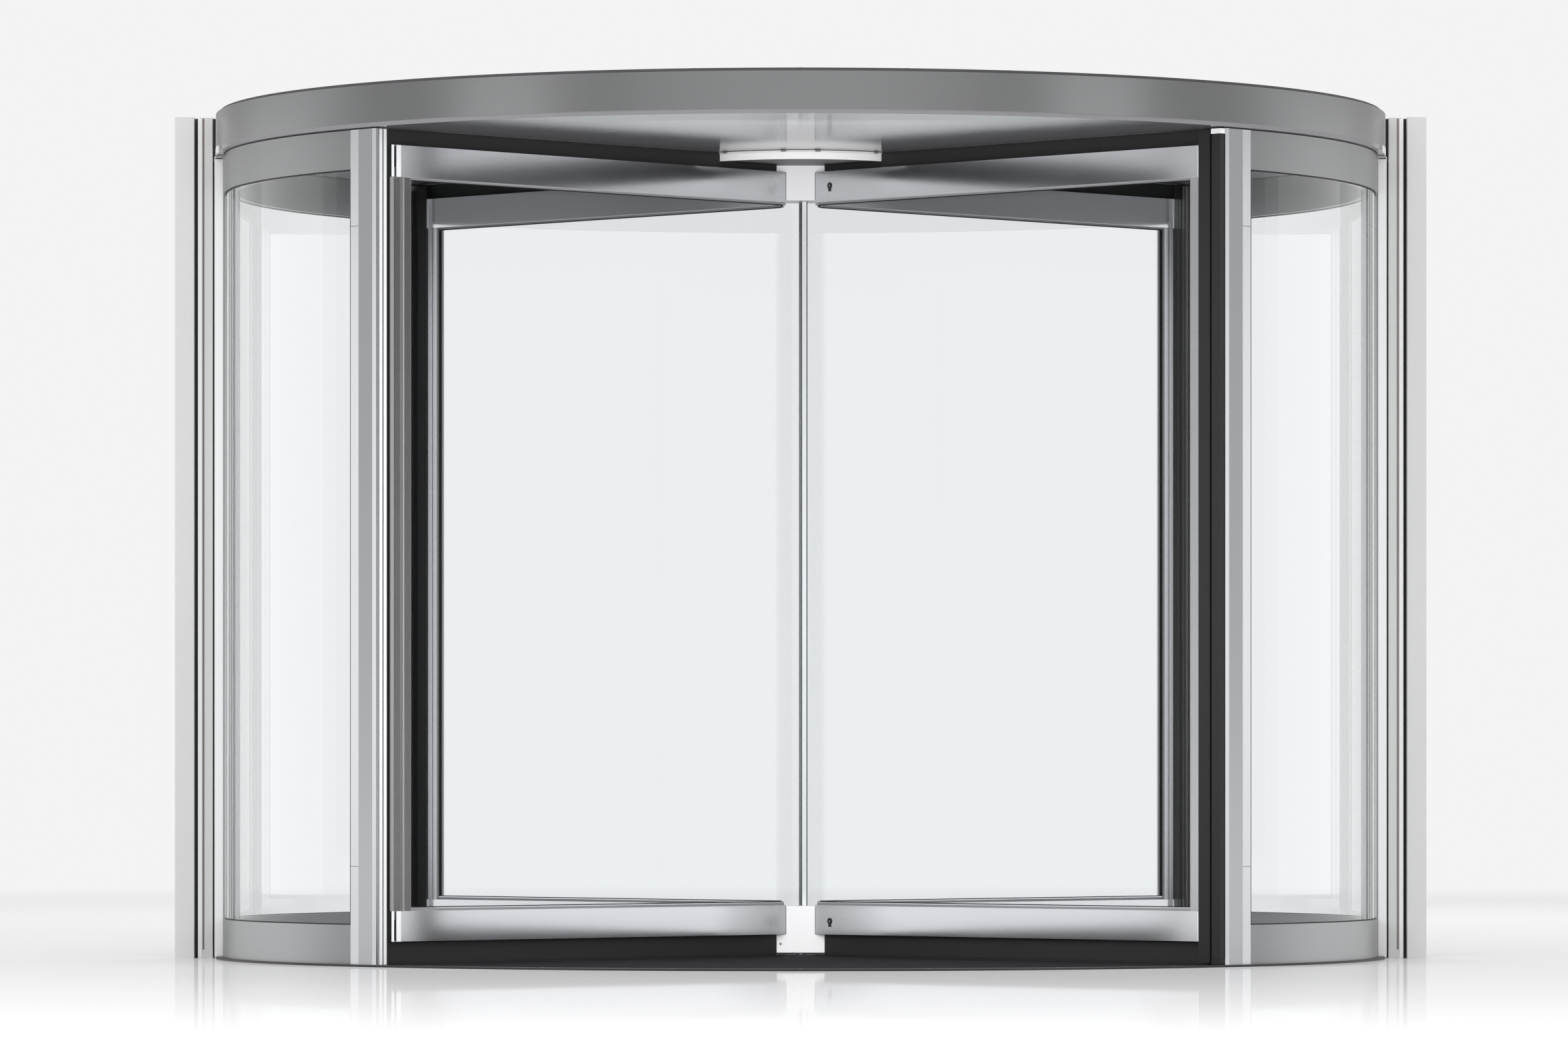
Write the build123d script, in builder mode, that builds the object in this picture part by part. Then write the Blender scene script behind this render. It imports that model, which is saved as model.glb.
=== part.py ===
from build123d import *
import os
from math import asin, atan, cos, degrees, radians, sin, sqrt

# Four-wing revolving door: a fixed round drum with two open throats, and a
# rotor of four framed glass wings on a central hub.
# Millimetres, +Z up. The origin is on the floor, on the axis the wings turn
# about. The front throat faces -Y, the facade posts stand at -X and +X.

# Drum, in plan
canopy_radius = 1750.0       # outer face of the round canopy and of the floor ring
wall_setback = 23.0          # outer face of the curved side walls behind it
wall_depth = 40.0            # radial depth of the side walls
post_standout = 6.0          # throat posts stand this far past the side walls
post_width = 114.0           # throat post, along the wall
post_mid_angle = 46.4        # from the middle of a throat to the middle of its post
throat_angles = {"front": -90.0, "rear": 90.0}

# Heights
floor_thickness = 6.0        # floor ring and entrance mat
clear_height = 2400.0        # floor to the ceiling of the drum
ceiling_thickness = 12.0     # ceiling board, its edge shows under the fascia
canopy_height = 108.0        # canopy fascia
cover_height = 9.0           # dark recessed band and dust cover on the canopy
joint_gap = 3.0              # black gasket between the walls and the canopy

# Side walls
head_rail_height = 112.0
base_rail_height = 113.0
rail_skin = 4.0              # wall of the hollow rails and posts
side_glass = 10.0
glass_setback = 8.0          # outer face of the curved glass behind the wall's outer face
glazing_gap = 2.0            # clearance at each side of any pane in its groove
groove_depth = 14.0
pane_bite = 12.0             # how deep a pane stands in its groove
bay_stile_width = 30.0
bay_gap = 1.0                # each bay stops this far from the middle of the side wall

# Throat posts
post_lip = 12.0              # narrow bevel at the throat edge
post_lip_drop = 4.0
post_bevel = 42.0            # wide bevel towards the side wall
post_slot_width = 5.0        # grooves down the throat face
post_slot_depth = 4.0
post_slot_places = (14.0, 30.0)
sweep_strip_width = 50.0     # black strip on the inner face, where the wings pass
sweep_strip_thickness = 3.0
sweep_strip_inset = 3.0      # bare metal between the strip and the throat
safety_edge_depth = 18.0     # rubber safety edge on the closing posts
safety_edge_width = 38.0
safety_edge_inset = 5.0      # behind the outer face of the post
safety_edge_clear = 16.0     # bare post above and below the safety edge

# Canopy
fascia_skin = 4.0
fascia_flange = 50.0         # flanges turned inwards at the top and bottom
cover_recess = 12.0
cover_sheet = 3.0

# Posts in the plane of the facade
mid_post_width = 28.0
mid_post_depth = 100.0
mid_post_cap = 14.0
mid_joint = 5.0              # black joint between the drum and the facade adapter
adapter_width = 40.0
adapter_depth = 100.0
adapter_slot = 6.0           # shallow groove down the adapter
adapter_slot_depth = 3.0
adapter_slot_place = 12.0
adapter_foot = 25.0
wall_joint = 14.0            # black joint between the adapter and the facade post
joint_recess = 14.0          # joints lie this far behind the faces beside them
facade_post_width = 58.0
facade_post_depth = 150.0
facade_post_drop = 5.0       # facade posts end this far under the top of the canopy

# Rotor
running_clearance = 5.5      # wings to walls, floor and ceiling
bearing_gap = 0.3            # at the pivots
disc_gap = 5.5               # hanger disc to the ceiling
wing_angles = {"front_right": -45.0, "rear_right": 45.0, "rear_left": 135.0, "front_left": 225.0}
keyed_wings = ("front_right", "rear_left")  # seal covers on both sides
rail_thickness = 45.0
rail_height = 85.0
bead_thickness = 26.0
bead_height = 12.0
bottom_seal_height = 60.0
top_seal_height = 41.5
stile_width = 60.0
stile_thickness = 26.0
edge_strip = 10.0            # bright edge strip that carries the side seal
side_seal = 13.0             # seal past the edge strip
seal_thickness = 10.0
seal_gap = 0.5               # between one seal strip and the next
seal_cover_width = 30.5      # seal cover over the stile and its edge strip
seal_cover_thickness = 5.0
wing_glass = 12.0
hub_side = 150.0
disc_radius = 344.0
disc_height = 22.0
centre_gasket = 12.0
shaft_radius = 30.0
shaft_height = 30.0
pivot_radius = 18.0
pivot_base_radius = 49.5
pivot_base_height = 9.0
bearing_neck = 15.0          # wall of the top bearing where it passes the ceiling
bearing_flange = 40.0        # its flange under the ceiling, past the shaft
edge_radius = 2.0            # softened edges of the extrusions

# Worked out from the above
wall_radius = canopy_radius - wall_setback
wall_inner = wall_radius - wall_depth
post_radius = wall_radius + post_standout
post_depth = post_radius - wall_inner - sweep_strip_thickness
post_half_angle = degrees(atan(post_width / 2 / post_radius))
wall_top = clear_height - joint_gap
head_rail_low = wall_top - head_rail_height
base_rail_top = floor_thickness + base_rail_height
glass_outer = wall_radius - glass_setback
glass_middle = glass_outer - side_glass / 2
side_groove = side_glass + 2 * glazing_gap
fascia_low = clear_height + ceiling_thickness
canopy_top = fascia_low + canopy_height
facade_post_height = canopy_top - facade_post_drop
bay_start = post_mid_angle + post_half_angle
bay_end = 90 - degrees(asin(bay_gap / wall_inner))
ring_inner = canopy_radius - fascia_flange
mid_post_inner = wall_radius
mid_post_outer = mid_post_inner + mid_post_width
mid_post_top = clear_height - mid_post_cap
adapter_inner = mid_post_outer + mid_joint
adapter_outer = adapter_inner + adapter_width
facade_post_inner = adapter_outer + wall_joint

seal_low = floor_thickness + running_clearance
rail_low = seal_low + bottom_seal_height
seal_high = clear_height - running_clearance
rail_high_top = seal_high - top_seal_height
rail_high = rail_high_top - rail_height
rail_low_top = rail_low + rail_height
wing_tip = sqrt((wall_inner - running_clearance) ** 2 - (rail_thickness / 2 + seal_cover_thickness) ** 2)
strip_outer = wing_tip - side_seal
strip_inner = strip_outer - edge_strip
stile_inner = strip_inner - stile_width
hub_cut = rail_thickness / sqrt(2)
rail_start = (hub_side - hub_cut) / sqrt(2)
hub_corner = hub_side / sqrt(2)
wing_groove = wing_glass + 2 * glazing_gap
disc_top = clear_height - disc_gap
disc_low = disc_top - disc_height
pivot_top = floor_thickness + 2 * running_clearance
fit_gap = 0.5                # round pieces of the drum in one another


def radial_plane(azimuth, radius, height):
    # Looks outwards along a radius: local x runs counterclockwise, local y up.
    a = radians(azimuth)
    origin = (radius * cos(a), radius * sin(a), height)
    return Plane(origin=origin, x_dir=(-sin(a), cos(a), 0), z_dir=(cos(a), sin(a), 0))


def upright_plane(azimuth):
    # Stands on the axis: local x runs outwards, local y up, the normal points clockwise.
    a = radians(azimuth)
    return Plane(origin=(0, 0, 0), x_dir=(cos(a), sin(a), 0), z_dir=(sin(a), -cos(a), 0))


def level_plane(azimuth, height):
    # Lies across the axis: local x runs outwards, local y counterclockwise.
    a = radians(azimuth)
    return Plane(origin=(0, 0, height), x_dir=(cos(a), sin(a), 0), z_dir=(0, 0, 1))


def post_plane(azimuth, height):
    # Lies at the outer face of a throat post: local x runs counterclockwise, local y inwards.
    a = radians(azimuth)
    origin = (post_radius * cos(a), post_radius * sin(a), height)
    return Plane(origin=origin, x_dir=(-sin(a), cos(a), 0), z_dir=(0, 0, 1))


def post_azimuth(throat, side):
    return throat + side * post_mid_angle


def bay_range(throat, side):
    # Start azimuth and sweep of the bay on one side of a throat, counterclockwise.
    start = throat + side * bay_start
    end = throat + side * bay_end
    return min(start, end), abs(end - start)


# Fixed drum

def make_floor_ring():
    with BuildPart() as floor_ring:
        with BuildSketch():
            Circle(canopy_radius)
            Circle(ring_inner, mode=Mode.SUBTRACT)
        extrude(amount=floor_thickness)
        rims = floor_ring.edges().filter_by(GeomType.CIRCLE).group_by(Axis.Z)[-1]
        chamfer(rims.sort_by(SortBy.LENGTH)[-1], edge_radius)
    return floor_ring.part


def make_floor_mat():
    with BuildPart() as floor_mat:
        with BuildSketch():
            Circle(ring_inner - fit_gap)
            Circle(pivot_base_radius + fit_gap, mode=Mode.SUBTRACT)
        extrude(amount=floor_thickness)
    return floor_mat.part


def make_floor_bearing():
    with BuildPart() as floor_bearing:
        with BuildSketch(Plane.XZ):
            with BuildLine():
                Polyline(
                    (0, 0),
                    (pivot_base_radius, 0),
                    (pivot_base_radius, pivot_base_height - edge_radius),
                    (pivot_base_radius - edge_radius, pivot_base_height),
                    (pivot_radius, pivot_base_height),
                    (pivot_radius, pivot_top),
                    (0, pivot_top),
                    close=True,
                )
            make_face()
        revolve(axis=Axis.Z)
    return floor_bearing.part


def make_top_bearing():
    inner = shaft_radius + bearing_gap
    neck = shaft_radius + bearing_neck
    flange = shaft_radius + bearing_flange
    with BuildPart() as top_bearing:
        with BuildSketch(Plane.XZ):
            with BuildLine():
                Polyline(
                    (inner, disc_top + bearing_gap),
                    (flange, disc_top + bearing_gap),
                    (flange, clear_height),
                    (neck, clear_height),
                    (neck, disc_top + shaft_height),
                    (inner, disc_top + shaft_height),
                    close=True,
                )
            make_face()
        revolve(axis=Axis.Z)
    return top_bearing.part


def make_fascia(start):
    half_gap = degrees(asin(bay_gap / canopy_radius))
    with BuildPart() as fascia:
        with BuildSketch(upright_plane(start + half_gap)):
            with BuildLine():
                Polyline(
                    (ring_inner, fascia_low),
                    (canopy_radius, fascia_low),
                    (canopy_radius, canopy_top),
                    (ring_inner, canopy_top),
                    (ring_inner, canopy_top - fascia_skin),
                    (canopy_radius - fascia_skin, canopy_top - fascia_skin),
                    (canopy_radius - fascia_skin, fascia_low + fascia_skin),
                    (ring_inner, fascia_low + fascia_skin),
                    close=True,
                )
            make_face()
        revolve(axis=Axis.Z, revolution_arc=180 - 2 * half_gap)
    return fascia.part


def make_ceiling():
    with BuildPart() as ceiling:
        with BuildSketch(Plane.XY.offset(clear_height)):
            Circle(canopy_radius)
            Circle(shaft_radius + bearing_neck + fit_gap, mode=Mode.SUBTRACT)
        extrude(amount=ceiling_thickness)
    return ceiling.part


def make_cover():
    rim = canopy_radius - cover_recess
    with BuildPart() as cover:
        with BuildSketch(Plane.XZ):
            with BuildLine():
                Polyline(
                    (0, canopy_top + cover_height - cover_sheet),
                    (rim - cover_sheet, canopy_top + cover_height - cover_sheet),
                    (rim - cover_sheet, canopy_top),
                    (rim, canopy_top),
                    (rim, canopy_top + cover_height),
                    (0, canopy_top + cover_height),
                    close=True,
                )
            make_face()
        revolve(axis=Axis.Z)
    return cover.part


def make_canopy_gasket():
    open_angle = post_mid_angle - post_half_angle
    with BuildPart() as gasket:
        for throat in throat_angles.values():
            with BuildSketch(upright_plane(throat + open_angle)):
                with Locations((wall_inner + wall_depth / 2, wall_top + joint_gap / 2)):
                    Rectangle(wall_depth - 2 * joint_gap, joint_gap)
            revolve(axis=Axis.Z, revolution_arc=180 - 2 * open_angle)
    return gasket.part


def make_throat_post(throat, side):
    half = post_width / 2
    bay_half = half * wall_radius / post_radius
    inner_half = half * (post_radius - post_depth) / post_radius
    with BuildPart() as post:
        with BuildSketch(post_plane(post_azimuth(throat, side), floor_thickness)):
            with BuildLine():
                Polyline(
                    (-side * half, post_lip_drop),
                    (-side * (half - post_lip), 0),
                    (side * (half - post_bevel), 0),
                    (side * bay_half, post_standout),
                    (side * inner_half, post_depth),
                    (-side * inner_half, post_depth),
                    close=True,
                )
            make_face()
            # Grooves down the throat face
            for place in post_slot_places:
                with Locations((-side * half, place)):
                    Rectangle(2 * post_slot_depth, post_slot_width, mode=Mode.SUBTRACT)
            # Groove that takes the curved pane
            with Locations((side * half, post_radius - glass_middle)):
                Rectangle(2 * groove_depth, side_groove, mode=Mode.SUBTRACT)
            # Hollow chamber between the grooves
            front = rail_skin + post_standout / 2
            back = post_depth - rail_skin
            chamber = post_width - post_slot_depth - groove_depth - 3 * rail_skin
            with Locations((side * (post_slot_depth - groove_depth) / 2, (front + back) / 2)):
                Rectangle(chamber, back - front, mode=Mode.SUBTRACT)
        extrude(amount=wall_top - floor_thickness)
    return post.part


def make_sweep_strips():
    with BuildPart() as strips:
        for throat in throat_angles.values():
            for side in (-1, 1):
                with BuildSketch(post_plane(post_azimuth(throat, side), floor_thickness)):
                    place = (post_width - sweep_strip_width) / 2 - sweep_strip_inset
                    with Locations((-side * place, post_depth + sweep_strip_thickness / 2)):
                        Rectangle(sweep_strip_width, sweep_strip_thickness)
                extrude(amount=wall_top - floor_thickness)
    return strips.part


def make_safety_edges():
    # One on each closing post: on the right of a throat, seen from outside it.
    low = floor_thickness + safety_edge_clear
    high = wall_top - safety_edge_clear
    side = 1
    with BuildPart() as edges:
        for throat in throat_angles.values():
            with BuildSketch(post_plane(post_azimuth(throat, side), low)):
                middle = safety_edge_inset + safety_edge_width / 2
                with Locations((-side * (post_width + safety_edge_depth) / 2, middle)):
                    RectangleRounded(safety_edge_depth, safety_edge_width, safety_edge_depth / 3)
            extrude(amount=high - low)
    return edges.part


def make_wall_rails(sides_throats, low, high, glass_above):
    middle = (low + high) / 2
    middle_radius = wall_radius - wall_depth / 2
    glass_side = 1 if glass_above else -1
    with BuildPart() as rails:
        for throat, side in sides_throats:
            start, sweep_angle = bay_range(throat, side)
            with BuildSketch(upright_plane(start)):
                with Locations((middle_radius, middle)):
                    Rectangle(wall_depth, high - low)
                # Hollow chamber behind the groove
                with Locations((middle_radius, middle - glass_side * (groove_depth + rail_skin) / 2)):
                    Rectangle(wall_depth - 2 * rail_skin, high - low - groove_depth - 3 * rail_skin,
                              mode=Mode.SUBTRACT)
                with Locations((glass_middle, middle + glass_side * (high - low - groove_depth) / 2)):
                    Rectangle(side_groove, groove_depth, mode=Mode.SUBTRACT)
            revolve(axis=Axis.Z, revolution_arc=sweep_angle)
    return rails.part


def make_side_glass(sides_throats):
    # Each pane stands on the floor of the groove in its base rail.
    low = base_rail_top - groove_depth
    high = head_rail_low + pane_bite
    post_bite = degrees(pane_bite / glass_middle)
    stile_stop = degrees(asin((bay_gap + bay_stile_width - pane_bite) / glass_middle))
    with BuildPart() as panes:
        for throat, side in sides_throats:
            first = throat + side * (bay_start - post_bite)
            last = throat + side * (90 - stile_stop)
            with BuildSketch(upright_plane(min(first, last))):
                with Locations((glass_middle, (low + high) / 2)):
                    Rectangle(side_glass, high - low)
            revolve(axis=Axis.Z, revolution_arc=abs(last - first))
    return panes.part


def make_bay_stiles(x_side):
    middle_x = x_side * (wall_radius - wall_depth / 2)
    outer_y = bay_gap + bay_stile_width
    chamber = bay_stile_width - groove_depth - 2 * rail_skin
    with BuildPart() as stiles:
        for y_side in (-1, 1):
            with BuildSketch(Plane.XY.offset(base_rail_top)):
                with Locations((middle_x, y_side * (bay_gap + outer_y) / 2)):
                    Rectangle(wall_depth, bay_stile_width)
                with Locations((x_side * glass_middle, y_side * (outer_y - groove_depth / 2))):
                    Rectangle(side_groove, groove_depth, mode=Mode.SUBTRACT)
                with Locations((middle_x, y_side * (bay_gap + rail_skin + chamber / 2))):
                    Rectangle(wall_depth - 2 * rail_skin, chamber, mode=Mode.SUBTRACT)
            extrude(amount=head_rail_low - base_rail_top)
    return stiles.part


def make_mid_post(x_side):
    middle = x_side * (mid_post_inner + mid_post_width / 2)
    with BuildPart() as mid_post:
        with BuildSketch(Plane.XY.offset(floor_thickness)):
            with Locations((middle, 0)):
                RectangleRounded(mid_post_width, mid_post_depth, edge_radius)
                Rectangle(mid_post_width - 2 * rail_skin, mid_post_depth - 2 * rail_skin, mode=Mode.SUBTRACT)
        extrude(amount=mid_post_top - floor_thickness)
        # Closed head that carries the canopy
        with BuildSketch(Plane.XY.offset(mid_post_top)):
            with Locations((middle, 0)):
                RectangleRounded(mid_post_width, mid_post_depth, edge_radius)
        extrude(amount=mid_post_cap)
    return mid_post.part


def make_adapters():
    bore_depth = adapter_depth - 2 * (rail_skin + adapter_slot_depth)
    with BuildPart() as adapters:
        for x_side in (-1, 1):
            middle = x_side * (adapter_inner + adapter_width / 2)
            with BuildSketch():
                with Locations((middle, 0)):
                    Rectangle(adapter_width, adapter_depth)
            extrude(amount=adapter_foot)
            with BuildSketch(Plane.XY.offset(adapter_foot)):
                with Locations((middle, 0)):
                    RectangleRounded(adapter_width, adapter_depth, edge_radius)
                    Rectangle(adapter_width - 2 * rail_skin, bore_depth, mode=Mode.SUBTRACT)
                slot_x = x_side * (adapter_outer - adapter_slot_place)
                with Locations((slot_x, -adapter_depth / 2), (slot_x, adapter_depth / 2)):
                    Rectangle(adapter_slot, 2 * adapter_slot_depth, mode=Mode.SUBTRACT)
            extrude(amount=facade_post_height - adapter_foot)
    return adapters.part


def make_facade_joints():
    with BuildPart() as joints:
        for x_side in (-1, 1):
            with BuildSketch(Plane.XY.offset(floor_thickness)):
                with Locations((x_side * (mid_post_outer + mid_joint / 2), 0)):
                    Rectangle(mid_joint, adapter_depth - 2 * joint_recess)
            extrude(amount=mid_post_top - floor_thickness)
            with BuildSketch(Plane.XY):
                with Locations((x_side * (adapter_outer + wall_joint / 2), 0)):
                    Rectangle(wall_joint, adapter_depth - 2 * joint_recess)
            extrude(amount=facade_post_height)
    return joints.part


def make_facade_post(x_side):
    with BuildPart() as facade_post:
        with BuildSketch():
            with Locations((x_side * (facade_post_inner + facade_post_width / 2), 0)):
                RectangleRounded(facade_post_width, facade_post_depth, edge_radius)
                Rectangle(facade_post_width - 2 * rail_skin, facade_post_depth - 2 * rail_skin,
                          mode=Mode.SUBTRACT)
        extrude(amount=facade_post_height)
    return facade_post.part


# Rotor

def make_hub(square_low, square_high, notch_low, notch_high):
    with BuildPart() as hub:
        with BuildSketch(Plane.XY.offset(square_low)):
            Rectangle(hub_side, hub_side)
        extrude(amount=square_high - square_low)
        with BuildSketch(Plane.XY.offset(notch_low)) as notched:
            Rectangle(hub_side, hub_side)
            chamfer(notched.vertices(), hub_cut)
        extrude(amount=notch_high - notch_low)
    return hub.part


def make_hanger_disc():
    with BuildPart() as disc:
        with BuildSketch(Plane.XY.offset(disc_low)):
            Circle(disc_radius)
        extrude(amount=disc_height)
        fillet(disc.edges().filter_by(GeomType.CIRCLE), edge_radius)
        with BuildSketch(Plane.XY.offset(disc_top)):
            Circle(shaft_radius)
        extrude(amount=shaft_height)
    return disc.part


def make_centre_gasket():
    with BuildPart() as gasket:
        with BuildSketch(Plane.XY.offset(rail_low_top)):
            Rectangle(centre_gasket, centre_gasket, rotation=45)
        extrude(amount=rail_high - rail_low_top)
    return gasket.part


def make_wing_rails(azimuth):
    bore_height = rail_height - groove_depth - 3 * rail_skin
    with BuildPart() as rails:
        for low, glass_side in ((rail_low, 1), (rail_high, -1)):
            middle = low + rail_height / 2
            with BuildSketch(radial_plane(azimuth, rail_start, middle)):
                RectangleRounded(rail_thickness, rail_height, edge_radius)
                with Locations((0, -glass_side * (groove_depth + rail_skin) / 2)):
                    Rectangle(rail_thickness - 2 * rail_skin, bore_height, mode=Mode.SUBTRACT)
                with Locations((0, glass_side * (rail_height - groove_depth) / 2)):
                    Rectangle(wing_groove, groove_depth, mode=Mode.SUBTRACT)
            extrude(amount=strip_inner - rail_start)
            # Beads that hold the pane
            with BuildSketch(radial_plane(azimuth, rail_start, middle)):
                with Locations((0, glass_side * (rail_height + bead_height) / 2)):
                    Rectangle(bead_thickness, bead_height)
                    Rectangle(wing_groove, bead_height, mode=Mode.SUBTRACT)
            extrude(amount=stile_inner - rail_start)
    return rails.part


def make_wing_stile(azimuth):
    bore_width = stile_width - groove_depth - rail_skin
    with BuildPart() as stile:
        with BuildSketch(level_plane(azimuth, rail_low_top)):
            with Locations(((stile_inner + strip_inner) / 2, 0)):
                Rectangle(stile_width, stile_thickness)
            with Locations((stile_inner + groove_depth / 2, 0)):
                Rectangle(groove_depth, wing_groove, mode=Mode.SUBTRACT)
            with Locations((strip_inner - bore_width / 2, 0)):
                Rectangle(bore_width, stile_thickness - 2 * rail_skin, mode=Mode.SUBTRACT)
        extrude(amount=rail_high - rail_low_top)
        # Edge strip, past the ends of the rails
        with BuildSketch(level_plane(azimuth, rail_low)):
            with Locations(((strip_inner + strip_outer) / 2, 0)):
                Rectangle(edge_strip, stile_thickness)
        extrude(amount=rail_high_top - rail_low)
    return stile.part


def make_wing_glass(azimuth):
    # Notched round the hub, where two such panes meet at the centre gasket.
    inner = centre_gasket / 2
    hub_edge = rail_start + glazing_gap
    outer = stile_inner + pane_bite
    low = rail_low_top - groove_depth
    high = rail_high + pane_bite
    with BuildPart() as pane:
        with BuildSketch(upright_plane(azimuth)):
            with BuildLine():
                Polyline(
                    (inner, rail_low_top),
                    (hub_edge, rail_low_top),
                    (hub_edge, low),
                    (outer, low),
                    (outer, high),
                    (hub_edge, high),
                    (hub_edge, rail_high),
                    (inner, rail_high),
                    close=True,
                )
            make_face()
        extrude(amount=wing_glass / 2, both=True)
    return pane.part


def make_wing_seals(azimuth, covered_sides):
    hub_edge = hub_corner + seal_gap
    disc_edge = disc_radius + seal_gap
    end = strip_outer - seal_gap
    middle = (seal_low + seal_high) / 2
    full_height = seal_high - seal_low
    with BuildPart() as seals:
        with BuildSketch(upright_plane(azimuth)):
            with BuildLine():
                Polyline(
                    (hub_edge, rail_high_top),
                    (end, rail_high_top),
                    (end, seal_high),
                    (disc_edge, seal_high),
                    (disc_edge, disc_low - seal_gap),
                    (hub_edge, disc_low - seal_gap),
                    close=True,
                )
            make_face()
            with Locations(((hub_edge + end) / 2, (seal_low + rail_low) / 2)):
                Rectangle(end - hub_edge, rail_low - seal_low)
            with Locations((strip_outer + side_seal / 2, middle)):
                Rectangle(side_seal, full_height)
        extrude(amount=seal_thickness / 2, both=True)
        # Covers over the stile and its edge strip, joined to the side seal
        for side in covered_sides:
            with BuildSketch(upright_plane(azimuth).offset(side * rail_thickness / 2)):
                with Locations((wing_tip - (seal_cover_width + side_seal) / 2, middle)):
                    Rectangle(seal_cover_width + side_seal, full_height)
            extrude(amount=side * seal_cover_thickness)
            with BuildSketch(upright_plane(azimuth).offset(side * stile_thickness / 2)):
                with Locations((strip_outer - seal_cover_width / 2, (rail_low_top + rail_high) / 2)):
                    Rectangle(seal_cover_width, rail_high - rail_low_top)
            extrude(amount=side * (rail_thickness - stile_thickness) / 2)
            with BuildSketch(upright_plane(azimuth)):
                with Locations((wing_tip - (side_seal - seal_gap) / 2, middle)):
                    Rectangle(side_seal - seal_gap, full_height)
            extrude(amount=side * rail_thickness / 2)
    return seals.part


def collect_parts():
    front, rear = throat_angles["front"], throat_angles["rear"]
    left = ((front, -1), (rear, 1))
    right = ((front, 1), (rear, -1))
    parts = {
        "floor_ring": make_floor_ring(),
        "floor_mat": make_floor_mat(),
        "floor_bearing": make_floor_bearing(),
        "top_bearing": make_top_bearing(),
        "canopy_fascia_rear": make_fascia(0),
        "canopy_fascia_front": make_fascia(180),
        "canopy_ceiling": make_ceiling(),
        "canopy_cover": make_cover(),
        "canopy_gasket": make_canopy_gasket(),
        "sweep_strips": make_sweep_strips(),
        "safety_edges": make_safety_edges(),
        "facade_adapters": make_adapters(),
        "facade_joints": make_facade_joints(),
        "hub_top": make_hub(rail_high_top, disc_low, rail_high, rail_high_top),
        "hub_bottom": make_hub(pivot_top + bearing_gap, rail_low, rail_low, rail_low_top),
        "hanger_disc": make_hanger_disc(),
        "centre_gasket": make_centre_gasket(),
    }
    for name, bays, x_side in (("left", left, -1), ("right", right, 1)):
        parts["head_rails_" + name] = make_wall_rails(bays, head_rail_low, wall_top, False)
        parts["base_rails_" + name] = make_wall_rails(bays, floor_thickness, base_rail_top, True)
        parts["side_glass_" + name] = make_side_glass(bays)
        parts["bay_stiles_" + name] = make_bay_stiles(x_side)
        parts["mid_post_" + name] = make_mid_post(x_side)
        parts["facade_post_" + name] = make_facade_post(x_side)
        for place, (throat, side) in zip(("front", "rear"), bays):
            parts["throat_post_" + place + "_" + name] = make_throat_post(throat, side)
    for name, azimuth in wing_angles.items():
        parts["wing_rails_" + name] = make_wing_rails(azimuth)
        parts["wing_stile_" + name] = make_wing_stile(azimuth)
        parts["wing_glass_" + name] = make_wing_glass(azimuth)
        covered_sides = (1, -1) if name in keyed_wings else (1,)
        parts["wing_seals_" + name] = make_wing_seals(azimuth, covered_sides)
    return parts


os.makedirs("parts", exist_ok=True)
for label, part in collect_parts().items():
    part.label = label
    export_step(part, "parts/" + label + ".step")
    print(label, len(part.solids()), round(part.volume / 1e6, 2))
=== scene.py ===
import math

import bmesh
import bpy
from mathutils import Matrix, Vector


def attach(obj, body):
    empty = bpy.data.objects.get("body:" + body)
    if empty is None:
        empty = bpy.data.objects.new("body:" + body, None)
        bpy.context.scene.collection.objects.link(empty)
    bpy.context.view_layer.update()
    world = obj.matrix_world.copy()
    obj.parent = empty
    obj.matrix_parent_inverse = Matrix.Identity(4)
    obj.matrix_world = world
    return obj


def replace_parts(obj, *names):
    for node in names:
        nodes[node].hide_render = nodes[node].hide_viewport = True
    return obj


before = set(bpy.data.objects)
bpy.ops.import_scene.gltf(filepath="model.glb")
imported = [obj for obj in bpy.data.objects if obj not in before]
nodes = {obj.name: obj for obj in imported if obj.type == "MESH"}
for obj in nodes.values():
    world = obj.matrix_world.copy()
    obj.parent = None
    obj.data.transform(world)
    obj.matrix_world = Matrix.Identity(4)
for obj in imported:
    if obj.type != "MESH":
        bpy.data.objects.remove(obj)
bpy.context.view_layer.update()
print("frame loaded with", len(nodes), "nodes")


def addObject(name, data):
    holder = bpy.data.objects.new(name, data)
    bpy.context.scene.collection.objects.link(holder)
    return holder


# The camera stands low and far off, level, in front of the throat
camera = {"place": (0.0, -25.735, 0.5564), "lens": 196.96, "sensor": 36.0, "shift": (-0.0106, 0.1594),
          "clipEnd": 500.0}


def placeCamera():
    data = bpy.data.cameras.new("camera")
    data.lens = camera["lens"]
    data.sensor_width = camera["sensor"]
    data.shift_x, data.shift_y = camera["shift"]
    data.clip_end = camera["clipEnd"]
    holder = addObject("camera", data)
    holder.location = camera["place"]
    holder.rotation_euler = (math.pi / 2, 0.0, 0.0)
    bpy.context.scene.camera = holder


placeCamera()


class Sock:
    # a socket that takes part in sums, and adds its Math nodes as it goes
    def __init__(self, shader, socket):
        self.shader = shader
        self.socket = socket

    def sum(self, operation, *others):
        return self.shader.sum(operation, self, *others)

    def __add__(self, other):
        return self.sum("ADD", other)

    def __radd__(self, other):
        return self.sum("ADD", other)

    def __sub__(self, other):
        return self.sum("SUBTRACT", other)

    def __rsub__(self, other):
        return self.shader.sum("SUBTRACT", other, self)

    def __mul__(self, other):
        return self.sum("MULTIPLY", other)

    def __rmul__(self, other):
        return self.sum("MULTIPLY", other)

    def __truediv__(self, other):
        return self.sum("DIVIDE", other)

    def __rtruediv__(self, other):
        return self.shader.sum("DIVIDE", other, self)

    def __lt__(self, other):
        return self.sum("LESS_THAN", other)

    def __gt__(self, other):
        return self.sum("GREATER_THAN", other)


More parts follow.
